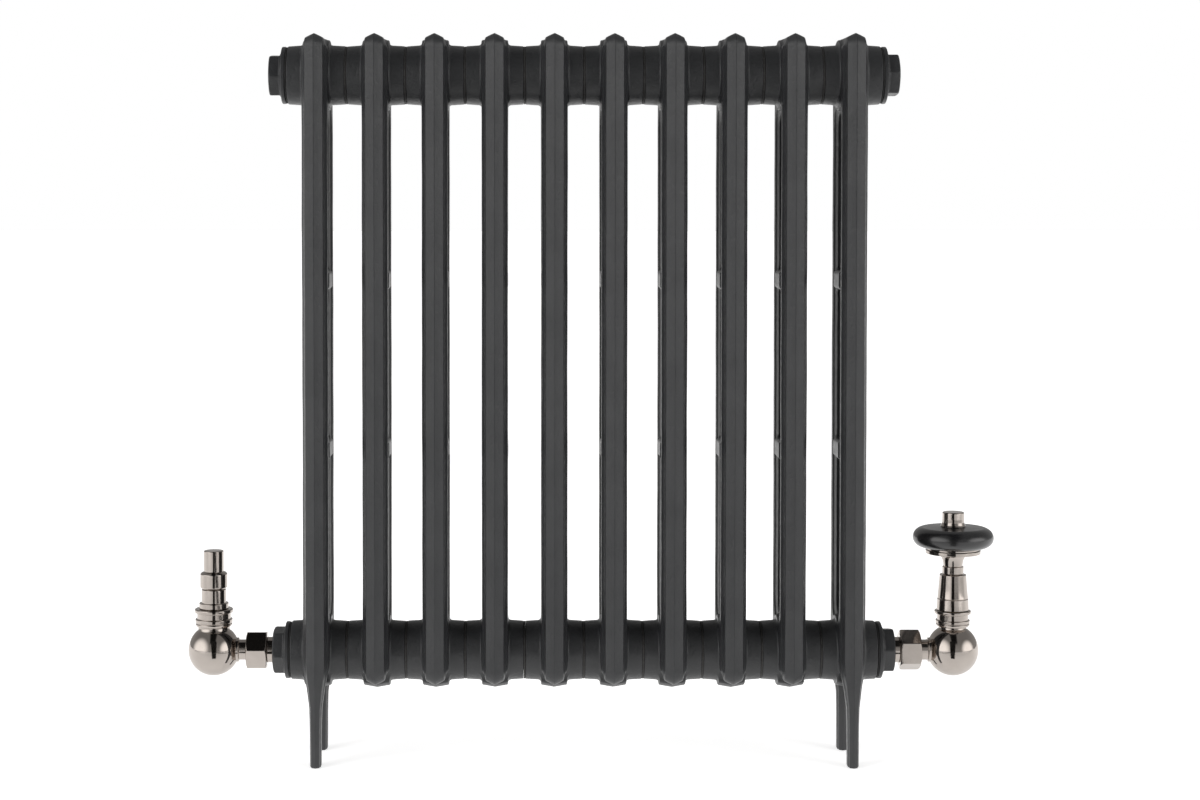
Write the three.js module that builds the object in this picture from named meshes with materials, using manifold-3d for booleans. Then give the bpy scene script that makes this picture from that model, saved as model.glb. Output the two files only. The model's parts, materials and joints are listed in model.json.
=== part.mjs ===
// Cast iron column radiator: ten sections, two columns deep, with a thermostatic valve on the
// right, a lockshield valve on the left, plugs at the top and reducing bushes at the bottom.
// Millimetres, +Z up, the front towards -Y, the floor at Z = 0.
import * as THREE from "three";
import { mergeVertices } from "three/addons/utils/BufferGeometryUtils.js";
import Module from "manifold-3d";

const wasm = await Module();
wasm.setup();

// ---------------------------------------------------------------- driving dimensions
const SECTIONS = 10;
const PITCH = 60; // from one section's middle to the next
const GAP = 0.3; // clearance between pieces that meet

const SECTION_WIDTH = 27.4; // along X, through the columns
const SECTION_DEPTH = 100; // along Y, front to back
const COLUMN_DEPTH = 36;
const CROWN_Z = 736.5; // top of the two columns
const SKIRT_Z = 81.5; // bottom of the two columns
const CROWN_R = 15; // corners of the section, seen from the side
const BEVEL = 14; // how far the ridge stands out from the column's flat side
const PARTING_LAND = 0.6; // width of the ridge that the mould's parting line leaves
const HEADER_RIDGE = 2.2; // rise of the header block's low ridge over its corners
const HEADER_TOP_Z = 733.8;
const HEADER_BOTTOM_Z = 73;
const HEADER_HALF_DEPTH = 17;
const WEB_ZS = [317, 489]; // bridges between the front and the rear column
const WEB_HEIGHT = 20;

const HUB_LOW_Z = 111;
const HUB_HIGH_Z = 696;
const HUB_R = 30;
const HUB_FACE_R = 28.8; // the hub's draft brings it in to this at its face
const HUB_BORE_R = 21; // one and a quarter inch pipe thread, drawn plain
const JOINT_GASKET = 1; // thickness of a gasket between two hub faces
const HUB_REACH = PITCH / 2 - JOINT_GASKET / 2 - GAP;
const LOW_END_CUT = 2; // the lower hubs at the two ends are faced this much shorter
const CHANNEL_HALF = [9.2, 13.5]; // waterway inside a column, along X and Y
const CHANNEL_BOTTOM_Z = 96;
const CHANNEL_TOP_Z = 711;
const CROSS_HALF_HEIGHT = 15;

// How many flats stand for a round surface. Pieces that fit in one another share their number.
const HUB_SIDES = 12;
const CHANNEL_SIDES = 6;
const FINE_SIDES = 20;
const PLAIN_SIDES = 12;
const ROD_SIDES = 8;

const FOOT_HALF_WIDTH = 6.1;
const FOOT_FRONT = 49; // distance of a foot's front face from the middle plane, at the floor
const FOOT_BACK = 27.5;

const THREAD_R = 20.4; // nipples, plugs and bushes in the hub bores
const THREAD_LENGTH = 14;
const NIPPLE_HEX = 15; // corner radius of the nipple's hexagonal key way
const GASKET_R = 28.3;
const GASKET_BORE_R = 21.5;

const HIGH_FACE = ((SECTIONS - 1) * PITCH) / 2 + HUB_REACH; // outermost faces of the upper hubs
const LOW_FACE = HIGH_FACE - LOW_END_CUT;
const FLANGE_R = 29;
const FLANGE_LAND = 4.4;
const FLANGE_CONE = 2;
const PLUG_HEAD_R = 22.8; // corners of the hexagonal head
const PLUG_TIP = 318;
const BUSH_HEAD_R = 24.5;
const BUSH_TIP = 316;
const HEAD_CHAMFER = 2;
const HEAD_TURN = -0.1; // where a head's first corner lies, in sixths of a turn
const BUSH_BORE_R = 12.4; // half inch pipe thread, drawn plain
const VENT_BORE_R = 3.3;

const VALVE_X = 377; // valve axes, from the middle of the sections
const BALL_R = 26.3;
const NECK_R = 10.5;
const WATER_R = 7.5; // bore of the tails and necks
const UNION_START = 322.3; // union nut, radiator end, from the middle of the sections
const UNION_LIP = 7;
const UNION_END = 343.3;
const UNION_THREAD_R = 14.5;
const UNION_CORNER_R = 21;
const NUT_TURN = { trv: 0.54, lockshield: 0.12 }; // first corners of the nuts, in sixths of a turn
const TAIL_THREAD_R = BUSH_BORE_R - GAP;
const CHAMBER_R = 12; // bore above the seat
const SEAT_Z = 3; // seat, above the ball's centre
const SEAT_R = 7;
const PIPE_R = 7.5; // 15 mm copper pipe
const INLET_END = SECTION_DEPTH / 2; // open end of the inlet nut, towards the wall
const INLET_CORNER_R = 15;
const PIN_R = 3;

const OVERALL_LEFT = VALVE_X + BALL_R;
const WHEEL_R = 41;
const OVERALL_RIGHT = VALVE_X + WHEEL_R;

// ---------------------------------------------------------------- materials
const FINISHES = {
  paint: { color: 0x4b4b4f, roughness: 0.5, metalness: 0.2 },
  iron: { color: 0x55524f, roughness: 0.7, metalness: 0.8 },
  gasket: { color: 0x111112, roughness: 0.8, metalness: 0 },
  nickel: { color: 0xc9bdb2, roughness: 0.15, metalness: 1 },
  black: { color: 0x0b0b0c, roughness: 0.2, metalness: 0 },
  brass: { color: 0xb8964f, roughness: 0.35, metalness: 1 },
  steel: { color: 0xa9a9ab, roughness: 0.3, metalness: 1 },
};

const finish = (name) => new THREE.MeshStandardMaterial(FINISHES[name]);

// ---------------------------------------------------------------- solids
const LATHE_TO_Z = new THREE.Matrix4().makeRotationX(Math.PI / 2);
const LATHE_TO_X = new THREE.Matrix4().makeBasis(
  new THREE.Vector3(0, 0, 1),
  new THREE.Vector3(1, 0, 0),
  new THREE.Vector3(0, 1, 0),
);
const SIDE_VIEW = new THREE.Matrix4().makeBasis(
  new THREE.Vector3(0, 1, 0),
  new THREE.Vector3(0, 0, 1),
  new THREE.Vector3(1, 0, 0),
);
const FRONT_VIEW = new THREE.Matrix4().makeRotationX(Math.PI / 2);

// A closed three.js geometry as a manifold-3d solid.
function solidOf(geometry) {
  const bare = geometry.clone();
  bare.deleteAttribute("normal");
  bare.deleteAttribute("uv");
  const merged = mergeVertices(bare, 1e-4);
  const vertProperties = new Float32Array(merged.attributes.position.array);
  const triVerts = new Uint32Array(merged.index.array);
  return new wasm.Manifold(new wasm.Mesh({ numProp: 3, vertProperties, triVerts }));
}

// A manifold-3d solid as a three.js geometry.
function geometryOf(solid) {
  const { numProp, vertProperties, triVerts } = solid.getMesh();
  const geometry = new THREE.BufferGeometry();
  const buffer = new THREE.InterleavedBuffer(vertProperties, numProp);
  geometry.setAttribute("position", new THREE.InterleavedBufferAttribute(buffer, 3, 0));
  geometry.setIndex(new THREE.BufferAttribute(triVerts, 1));
  return geometry;
}

const vectors = (points) => points.map(([x, y]) => new THREE.Vector2(x, y));

// A turned solid about Z or X. The profile holds [radius, place along the axis].
function turned(profile, segments = PLAIN_SIDES, matrix = LATHE_TO_Z) {
  const lathe = new THREE.LatheGeometry(vectors(profile), segments);
  return solidOf(lathe.applyMatrix4(matrix));
}

const turnedX = (profile, segments) => turned(profile, segments, LATHE_TO_X);

// A turned ring or tube: the profile closes on itself.
const ring = (profile, segments, matrix) => turned([...profile, profile[0]], segments, matrix);

// A plain round bar along Z, X or Y, to add or to cut a bore with.
function bar(radius, from, to, segments = PLAIN_SIDES, matrix = LATHE_TO_Z) {
  return turned([[0, from], [radius, from], [radius, to], [0, to]], segments, matrix);
}

const barX = (radius, from, to, segments) => bar(radius, from, to, segments, LATHE_TO_X);
const barY = (radius, from, to, segments) => bar(radius, from, to, segments, new THREE.Matrix4());

// A straight prism of an outline seen from the front, between two places along Y.
function frontPrism(points, fromY, toY) {
  const shape = new THREE.Shape(vectors(points));
  const prism = new THREE.ExtrudeGeometry(shape, { depth: toY - fromY, bevelEnabled: false });
  return solidOf(prism.applyMatrix4(FRONT_VIEW).translate(0, toY, 0));
}

// A straight prism of an outline seen from the side, between two places along X.
function sidePrism(points, fromX, toX) {
  const shape = new THREE.Shape(vectors(points));
  const prism = new THREE.ExtrudeGeometry(shape, { depth: toX - fromX, bevelEnabled: false });
  return solidOf(prism.applyMatrix4(SIDE_VIEW).translate(fromX, 0, 0));
}

// Corner points of a hexagon whose first corner lies "turn" sixths of a turn round.
function hexagon(cornerR, turn = 0.5) {
  const corners = [0, 1, 2, 3, 4, 5].map((i) => ((i + turn) * Math.PI) / 3);
  return corners.map((a) => [cornerR * Math.cos(a), cornerR * Math.sin(a)]);
}

const union = (solids) => solids.reduce((a, b) => a.add(b));
const cut = (blank, tools) => tools.reduce((a, b) => a.subtract(b), blank);

// Corner points of a rounded rectangle, each corner an arc of a few steps.
function roundedRectangle(left, bottom, right, top, r, steps) {
  const centres = [
    [right - r, bottom + r], [right - r, top - r], [left + r, top - r], [left + r, bottom + r],
  ];
  return vectors(centres.flatMap(([x, y], corner) =>
    Array.from({ length: steps + 1 }, (_, i) => {
      const angle = ((corner - 1 + i / steps) * Math.PI) / 2;
      return [x + r * Math.cos(angle), y + r * Math.sin(angle)];
    })));
}

// ---------------------------------------------------------------- radiator sections
// The two columns and the bends that join them, as the two halves of the mould leave them: each
// half slopes from the ridge at the parting line back to the flat side.
function columns() {
  const half = SECTION_DEPTH / 2;
  const inner = half - COLUMN_DEPTH;
  const headroom = HUB_R + 9;
  const slotBottom = HUB_LOW_Z + headroom;
  const slotTop = HUB_HIGH_Z - headroom;
  const outline = new THREE.Shape(
    roundedRectangle(-half, SKIRT_Z, half, CROWN_Z, CROWN_R, 3),
  );
  outline.holes.push(new THREE.Path(
    roundedRectangle(-inner, slotBottom, inner, slotTop, inner - 1, 2),
  ));
  const casting = new THREE.ExtrudeGeometry(outline, {
    depth: PARTING_LAND,
    bevelThickness: (SECTION_WIDTH - PARTING_LAND) / 2,
    bevelSize: BEVEL,
    bevelOffset: -BEVEL,
    bevelSegments: 2,
  });
  return solidOf(casting.applyMatrix4(SIDE_VIEW).translate(-PARTING_LAND / 2, 0, 0));
}

// The squared block round a hub, with its low ridge at the top or at the bottom.
function headerBlock(hubZ, edgeZ) {
  const half = SECTION_WIDTH / 2;
  const away = Math.sign(hubZ - edgeZ);
  const cornerZ = edgeZ + away * HEADER_RIDGE;
  const innerZ = hubZ + away * HUB_R * 1.15;
  const outline = [[-half, cornerZ], [0, edgeZ], [half, cornerZ], [half, innerZ], [-half, innerZ]];
  return frontPrism(outline, -HEADER_HALF_DEPTH, HEADER_HALF_DEPTH);
}

// A bridge between the columns, with its edges eased.
function web(z) {
  const half = SECTION_WIDTH / 2;
  const rise = WEB_HEIGHT / 2;
  const ease = 4;
  const outline = [
    [-half, z - rise + ease], [-half + ease, z - rise], [half - ease, z - rise],
    [half, z - rise + ease], [half, z + rise - ease], [half - ease, z + rise],
    [-half + ease, z + rise], [-half, z + rise - ease],
  ];
  const reach = SECTION_DEPTH / 2 - COLUMN_DEPTH + 5;
  return frontPrism(outline, -reach, reach);
}

function hub(z, left, right) {
  const body = SECTION_WIDTH / 2;
  const profile = [
    [0, -left], [HUB_FACE_R, -left], [HUB_R, -body], [HUB_R, body], [HUB_FACE_R, right], [0, right],
  ];
  return turnedX(profile, HUB_SIDES).translate([0, 0, z]);
}

// The water's way: a channel down each column, one across at each hub, and the hub's bore.
function waterway() {
  const [halfX, halfY] = CHANNEL_HALF;
  const height = CHANNEL_TOP_Z - CHANNEL_BOTTOM_Z;
  const columnY = (SECTION_DEPTH - COLUMN_DEPTH) / 2;
  const channel = new THREE.CylinderGeometry(1, 1, height, CHANNEL_SIDES).rotateX(Math.PI / 2);
  channel.scale(halfX, halfY, 1).translate(0, 0, CHANNEL_BOTTOM_Z + height / 2);
  const down = [-columnY, columnY].map((y) => solidOf(channel.clone().translate(0, y, 0)));
  const cross = new THREE.CylinderGeometry(1, 1, 2 * columnY, CHANNEL_SIDES);
  cross.scale(halfX, 1, CROSS_HALF_HEIGHT);
  const perHub = [HUB_LOW_Z, HUB_HIGH_Z].flatMap((z) => [
    solidOf(cross.clone().translate(0, 0, z)),
    barX(HUB_BORE_R, -HUB_REACH - 1, HUB_REACH + 1, HUB_SIDES).translate([0, 0, z]),
  ]);
  return [...down, ...perHub];
}

// A foot: its outline from the front and its outline from the side, each swept and intersected.
function foot(side) {
  const half = SECTION_WIDTH / 2;
  const f = FOOT_HALF_WIDTH;
  const rightEdge = [[f - 1.5, 0], [f, 2], [f, 38], [f + 0.8, 60], [f + 3.6, 80], [half, 104]];
  const leftEdge = rightEdge.map(([x, z]) => [-x, z]).reverse();
  const front = frontPrism([...rightEdge, ...leftEdge], -SECTION_DEPTH / 2, SECTION_DEPTH / 2);
  const profile = [
    [FOOT_BACK + 1.5, 0], [FOOT_FRONT - 2, 0], [FOOT_FRONT, 2], [FOOT_FRONT + 0.5, 60],
    [FOOT_FRONT - 2.5, 104], [FOOT_BACK - 9, 104], [FOOT_BACK - 4, 84], [FOOT_BACK, 60],
    [FOOT_BACK, 1.5],
  ];
  const placed = profile.map(([y, z]) => [side * y, z]);
  return front.intersect(sidePrism(placed, -half, half));
}

function section(isLeftEnd, isRightEnd) {
  const lowLeft = isLeftEnd ? HUB_REACH - LOW_END_CUT : HUB_REACH;
  const lowRight = isRightEnd ? HUB_REACH - LOW_END_CUT : HUB_REACH;
  const feet = isLeftEnd || isRightEnd ? [foot(-1), foot(1)] : [];
  const blank = union([
    columns(),
    headerBlock(HUB_LOW_Z, HEADER_BOTTOM_Z),
    headerBlock(HUB_HIGH_Z, HEADER_TOP_Z),
    ...WEB_ZS.map(web),
    hub(HUB_LOW_Z, lowLeft, lowRight),
    hub(HUB_HIGH_Z, HUB_REACH, HUB_REACH),
    ...feet,
  ]);
  return cut(blank, waterway());
}

// Threaded sleeve that pulls two sections together. Its middle collar carries the gasket, and a
// hexagonal key turns it from inside.
function nipple() {
  const collar = JOINT_GASKET / 2;
  const sleeve = turnedX([
    [0, -THREAD_LENGTH], [THREAD_R, -THREAD_LENGTH], [THREAD_R, -collar], [GASKET_R, -collar],
    [GASKET_R, collar], [THREAD_R, collar], [THREAD_R, THREAD_LENGTH], [0, THREAD_LENGTH],
  ], HUB_SIDES);
  const reach = THREAD_LENGTH + 1;
  return cut(sleeve, [sidePrism(hexagon(NIPPLE_HEX), -reach, reach)]);
}

// ---------------------------------------------------------------- plugs and bushes
// These run outwards along +X from the middle of the sections; the left ones are turned round.
function gasketRing(face) {
  const from = face + GAP;
  const to = from + JOINT_GASKET;
  const profile = [[GASKET_BORE_R, from], [GASKET_R, from], [GASKET_R, to], [GASKET_BORE_R, to]];
  return ring(profile, HUB_SIDES, LATHE_TO_X);
}

// Thread, flange and cone, and a hexagonal head with its outer corners chamfered.
function fitting(face, headR, tip) {
  const threadStart = face - THREAD_LENGTH;
  const start = face + JOINT_GASKET + 2 * GAP;
  const land = start + FLANGE_LAND;
  const cone = land + FLANGE_CONE;
  const barrel = turnedX([
    [0, threadStart], [THREAD_R, threadStart], [THREAD_R, start],
    [FLANGE_R, start], [FLANGE_R, land], [headR, cone], [0, cone],
  ], HUB_SIDES);
  const prism = sidePrism(hexagon(headR, HEAD_TURN), land, tip);
  const chamfered = turnedX([
    [0, land], [headR + 1, land], [headR + 1, tip - HEAD_CHAMFER], [headR - HEAD_CHAMFER, tip],
    [0, tip],
  ], HUB_SIDES);
  return barrel.add(prism.intersect(chamfered));
}

function plug(hasVent) {
  const blank = fitting(HIGH_FACE, PLUG_HEAD_R, PLUG_TIP);
  const wall = 7;
  const hollow = barX(THREAD_R - wall, HIGH_FACE - THREAD_LENGTH - 1, HIGH_FACE);
  const vent = barX(VENT_BORE_R, HIGH_FACE - 1, PLUG_TIP + 1);
  return cut(blank, hasVent ? [hollow, vent] : [hollow]);
}

function bush() {
  const bore = barX(BUSH_BORE_R, LOW_FACE - THREAD_LENGTH - 1, BUSH_TIP + 1);
  return cut(fitting(LOW_FACE, BUSH_HEAD_R, BUSH_TIP), [bore]);
}

function ventScrew() {
  const r = VENT_BORE_R - GAP;
  const tip = PLUG_TIP - 0.2;
  const nose = tip - 12;
  const screw = turnedX([[0, nose], [r * 0.6, nose], [r, nose + 3], [r, tip], [0, tip]]);
  const slot = 0.5;
  const slotDepth = 1.2;
  const square = [[-slot, -r], [slot, -r], [slot, r], [-slot, r]];
  return cut(screw, [sidePrism(square, tip - slotDepth, tip + 1)]);
}

// ---------------------------------------------------------------- unions
// The tail screws into the bush, and its collar is drawn onto the valve by the union nut.
const COLLAR_START = UNION_START + UNION_LIP + GAP;
const COLLAR_END = COLLAR_START + 3.2;

function unionTail() {
  const shoulder = BUSH_TIP + GAP;
  return ring([
    [WATER_R, BUSH_TIP - 24], [TAIL_THREAD_R, BUSH_TIP - 24], [TAIL_THREAD_R, shoulder],
    [TAIL_THREAD_R + 0.6, shoulder], [TAIL_THREAD_R + 0.6, UNION_START - GAP],
    [NECK_R - 1, UNION_START - GAP], [NECK_R - 1, COLLAR_START], [UNION_THREAD_R - 1, COLLAR_START],
    [UNION_THREAD_R - 1, COLLAR_END], [WATER_R, COLLAR_END],
  ], PLAIN_SIDES, LATHE_TO_X);
}

function unionNut(cornerTurn) {
  const blank = sidePrism(hexagon(UNION_CORNER_R, cornerTurn), UNION_START, UNION_END);
  const threadStart = UNION_START + UNION_LIP;
  const wide = UNION_CORNER_R + 1;
  const chamfer = turnedX([
    [0, UNION_START], [UNION_CORNER_R - 2.5, UNION_START], [wide, UNION_START + 2],
    [wide, UNION_END - 3.2], [UNION_CORNER_R - 4.5, UNION_END], [0, UNION_END],
  ]);
  return cut(blank.intersect(chamfer), [
    barX(NECK_R - 1 + GAP, UNION_START - 1, UNION_END + 1),
    barX(UNION_THREAD_R + GAP, threadStart, UNION_END + 1),
  ]);
}

// ---------------------------------------------------------------- valves
// A valve's own frame has its origin at the ball's centre. "towards" is the way along X to the
// radiator, and the inlet looks back to the wall along +Y.
// Rings on top of a ball, from the collar up: each one's radius and the height of its top.
const THERMO_RINGS = { collar: [14, 24.5], foot: [17.6, 31.2], waist: [15.9, 37.3], top: [18.7, 41.1] };
const SHIELD_RINGS = { collar: [16.3, 25], foot: [19, 32.6], waist: [17.2, 38.2], top: [19.7, 42.7] };
const INLET_BOSS_END = INLET_END - 12;

// A bar along X from the ball's centre line towards the radiator.
function sideBar(radius, near, far, towards) {
  const [from, to] = towards > 0 ? [near, far] : [-far, -near];
  return barX(radius, from, to);
}

function valveBody(rings, towards) {
  const { collar, foot: low, waist, top } = rings;
  const collarAngle = Math.acos(collar[0] / BALL_R);
  const below = [1, 2, 3, 4].map((i) => ((i - 4) * Math.PI) / 8);
  const above = [1, 2, 3].map((i) => (i * collarAngle) / 3);
  const ball = [...below, ...above].map((a) => [BALL_R * Math.cos(a), BALL_R * Math.sin(a)]);
  const outside = turned([
    [0, -BALL_R], ...ball, collar, [low[0], collar[1]], low, [waist[0], low[1]], waist,
    [top[0], waist[1]], top, [0, top[1]],
  ], FINE_SIDES);
  const neckEnd = VALVE_X - UNION_END;
  const threadEnd = VALVE_X - COLLAR_END - GAP;
  const blank = union([
    outside,
    sideBar(NECK_R + 5, BALL_R - 12, BALL_R - 1.5, towards),
    sideBar(NECK_R, 10, neckEnd + 1, towards),
    sideBar(UNION_THREAD_R, neckEnd, threadEnd, towards),
    barY(PIPE_R + 3.3, 10, INLET_BOSS_END),
  ]);
  const lowerR = 8;
  const lowerFloor = -13;
  const passageR = 4;
  return cut(blank, [
    bar(CHAMBER_R, SEAT_Z, top[1] + 1),
    bar(SEAT_R, -SEAT_Z - 1, SEAT_Z + 1),
    bar(lowerR, lowerFloor, -SEAT_Z),
    sideBar(WATER_R, 10, threadEnd + 1, towards),
    barY(PIPE_R + GAP, CHAMBER_R + 2, INLET_BOSS_END + 1),
    barY(passageR, 0, CHAMBER_R + 3, ROD_SIDES).translate([0, 0, -SEAT_Z - passageR]),
  ]);
}

function inletNut() {
  const start = INLET_BOSS_END - 6;
  const lip = INLET_END - 5;
  const blank = frontPrism(hexagon(INLET_CORNER_R), start, INLET_END);
  return cut(blank, [
    barY(PIPE_R + 3.3 + GAP, start - 1, lip),
    barY(PIPE_R + GAP, start - 1, INLET_END + 1),
  ]);
}

function olive() {
  const from = INLET_BOSS_END + GAP;
  const to = INLET_END - 5 - GAP;
  const bore = PIPE_R + GAP;
  return ring([
    [bore, from], [bore + 1, from], [bore + 2.6, (from + to) / 2], [bore + 1, to], [bore, to],
  ], PLAIN_SIDES, new THREE.Matrix4());
}

// Cartridge that fills the ball's upper bore and guides the pin or spindle.
function cartridge(bottom, top, more = []) {
  const r = CHAMBER_R - GAP;
  const guide = PIN_R + GAP;
  const outside = [[r, bottom], [r, top], ...more];
  return ring([[guide, bottom], ...outside, [guide, outside.at(-1)[1]]], PLAIN_SIDES);
}

const DISC_TOP = SEAT_Z + 5.7;
const DISC_BOTTOM = SEAT_Z + 2.5;
const disc = () => bar(CHAMBER_R - 3, DISC_BOTTOM, DISC_TOP);
const rod = (top) => bar(PIN_R, DISC_TOP + GAP, top, ROD_SIDES);

// Thermostatic head: bell, wax capsule, turning stem with its trumpet and dish, wheel and cap.
const BELL_BOTTOM = THERMO_RINGS.top[1] + GAP;
const BELL_TOP = 77.7;
const BELL_ROOF = 71;
const CAPSULE_BOTTOM = 47;
const CAPSULE_TOP = 69.5;
const DISH_TOP = 104.6;
const WHEEL_TOP = 126.9;
const CAP_TOP = 141.4;
const SPIGOT_R = 7;
const POST_R = 5;

function bell() {
  return ring([
    [SPIGOT_R + GAP, BELL_ROOF], [12.7, BELL_ROOF], [12.7, BELL_BOTTOM], [16.5, BELL_BOTTOM],
    [16.4, BELL_BOTTOM + 8], [15.2, 62], [13.6, BELL_TOP], [SPIGOT_R + GAP, BELL_TOP],
  ], PLAIN_SIDES);
}

const capsule = () => turned([
  [0, CAPSULE_BOTTOM], [4, CAPSULE_BOTTOM], [9, CAPSULE_BOTTOM + 3],
  [9, CAPSULE_TOP], [0, CAPSULE_TOP],
]);

function headStem() {
  return turned([
    [0, BELL_ROOF + GAP], [SPIGOT_R, BELL_ROOF + GAP], [SPIGOT_R, BELL_TOP + GAP],
    [10.9, BELL_TOP + GAP], [10.9, 85.6], [9.9, 86.5], [11.2, 91.5], [14.6, 98.2], [28.2, 98.8],
    [28.2, 102.8], [26.6, 102.8], [26.6, DISH_TOP],
    [POST_R, DISH_TOP], [POST_R, WHEEL_TOP - 1], [0, WHEEL_TOP - 1],
  ], FINE_SIDES);
}

function wheel() {
  const bore = POST_R + GAP;
  const bottom = DISH_TOP + GAP;
  return ring([
    [bore, bottom], [32, bottom], [38, bottom + 3.5], [WHEEL_R, bottom + 8.5],
    [WHEEL_R, bottom + 14], [38, WHEEL_TOP - 4], [32, WHEEL_TOP], [bore, WHEEL_TOP],
  ], FINE_SIDES);
}

const wheelCap = () => turned([
  [0, WHEEL_TOP + GAP], [13.3, WHEEL_TOP + GAP], [11.2, WHEEL_TOP + 3.5],
  [11.2, CAP_TOP - 1.5], [9.5, CAP_TOP], [0, CAP_TOP],
]);

// Lockshield: headwork with the spindle through it, under a cap that pulls off.
const HEADWORK_BOTTOM = 18;
const HEADWORK_SEAT = SHIELD_RINGS.top[1] + GAP;
const HEADWORK_TOP = 62.2;
const HEADWORK_POST_R = 9;
const SHIELD_CAP_TOP = 101.9;

const headwork = () => cartridge(HEADWORK_BOTTOM, HEADWORK_SEAT, [
  [15, HEADWORK_SEAT], [15, 48.6], [12.6, 48.6], [12.6, HEADWORK_TOP],
  [HEADWORK_POST_R, HEADWORK_TOP], [HEADWORK_POST_R, HEADWORK_TOP + 8],
]);

function shieldCap() {
  const bottom = HEADWORK_TOP + GAP;
  const bore = HEADWORK_POST_R + GAP;
  return turned([
    [0, SHIELD_CAP_TOP - 4], [bore - 2, SHIELD_CAP_TOP - 4], [bore - 2, SHIELD_CAP_TOP - 16],
    [bore, SHIELD_CAP_TOP - 18], [bore, bottom], [12.4, bottom], [14, bottom + 2.5], [14, 78.2],
    [10.2, 80.5], [10.2, SHIELD_CAP_TOP - 1], [9.2, SHIELD_CAP_TOP], [0, SHIELD_CAP_TOP],
  ]);
}

// ---------------------------------------------------------------- assembly
const radiator = new THREE.Group();
radiator.position.x = -(OVERALL_RIGHT - OVERALL_LEFT) / 2; // centres the whole width on X = 0

function place(parent, name, solid, finishName, x = 0, z = 0, turn = 0) {
  const piece = new THREE.Mesh(geometryOf(solid), finish(finishName));
  piece.name = name;
  piece.position.set(x, 0, z);
  piece.rotation.z = turn;
  parent.add(piece);
}

const number = (i) => String(i).padStart(2, "0");

const middleSection = section(false, false);
for (let i = 1; i <= SECTIONS; i += 1) {
  const isEnd = i === 1 || i === SECTIONS;
  const body = isEnd ? section(i === 1, i === SECTIONS) : middleSection;
  place(radiator, `section_${number(i)}`, body, "paint", (i - (SECTIONS + 1) / 2) * PITCH);
}

const joint = nipple();
for (let i = 1; i < SECTIONS; i += 1) {
  const x = (i - SECTIONS / 2) * PITCH;
  place(radiator, `nipple_top_${number(i)}`, joint, "iron", x, HUB_HIGH_Z);
  place(radiator, `nipple_bottom_${number(i)}`, joint, "iron", x, HUB_LOW_Z);
}

const SIDES = [["left", Math.PI], ["right", 0]];
for (const [side, turn] of SIDES) {
  const isRight = side === "right";
  place(radiator, `plug_top_${side}`, plug(isRight), "paint", 0, HUB_HIGH_Z, turn);
  place(radiator, `plug_gasket_${side}`, gasketRing(HIGH_FACE), "gasket", 0, HUB_HIGH_Z, turn);
  place(radiator, `bush_bottom_${side}`, bush(), "paint", 0, HUB_LOW_Z, turn);
  place(radiator, `bush_gasket_${side}`, gasketRing(LOW_FACE), "gasket", 0, HUB_LOW_Z, turn);
}
place(radiator, "air_vent_screw", ventScrew(), "brass", 0, HUB_HIGH_Z);

function valve(name, x, turn) {
  place(radiator, `${name}_union_tail`, unionTail(), "nickel", 0, HUB_LOW_Z, turn);
  place(radiator, `${name}_union_nut`, unionNut(NUT_TURN[name]), "nickel", 0, HUB_LOW_Z, turn);
  const group = new THREE.Group();
  group.position.set(x, 0, HUB_LOW_Z);
  radiator.add(group);
  place(group, `${name}_inlet_nut`, inletNut(), "nickel");
  place(group, `${name}_inlet_olive`, olive(), "brass");
  place(group, `${name}_valve_disc`, disc(), "gasket");
  return group;
}

const thermo = valve("trv", VALVE_X, 0);
place(thermo, "trv_body", valveBody(THERMO_RINGS, -1), "nickel");
place(thermo, "trv_insert", cartridge(15, 44), "brass");
place(thermo, "trv_pin", rod(CAPSULE_BOTTOM - GAP), "steel");
place(thermo, "trv_bell", bell(), "nickel");
place(thermo, "trv_sensor_capsule", capsule(), "brass");
place(thermo, "trv_head_stem", headStem(), "nickel");
place(thermo, "trv_wheel", wheel(), "black");
place(thermo, "trv_wheel_cap", wheelCap(), "nickel");

const shield = valve("lockshield", -VALVE_X, Math.PI);
place(shield, "lockshield_body", valveBody(SHIELD_RINGS, 1), "nickel");
place(shield, "lockshield_headwork", headwork(), "nickel");
place(shield, "lockshield_spindle", rod(76), "brass");
place(shield, "lockshield_cap", shieldCap(), "nickel");

export default radiator;
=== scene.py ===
"""Looks of a two-column cast iron radiator with a thermostatic and a lockshield valve."""
import json
import math

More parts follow.
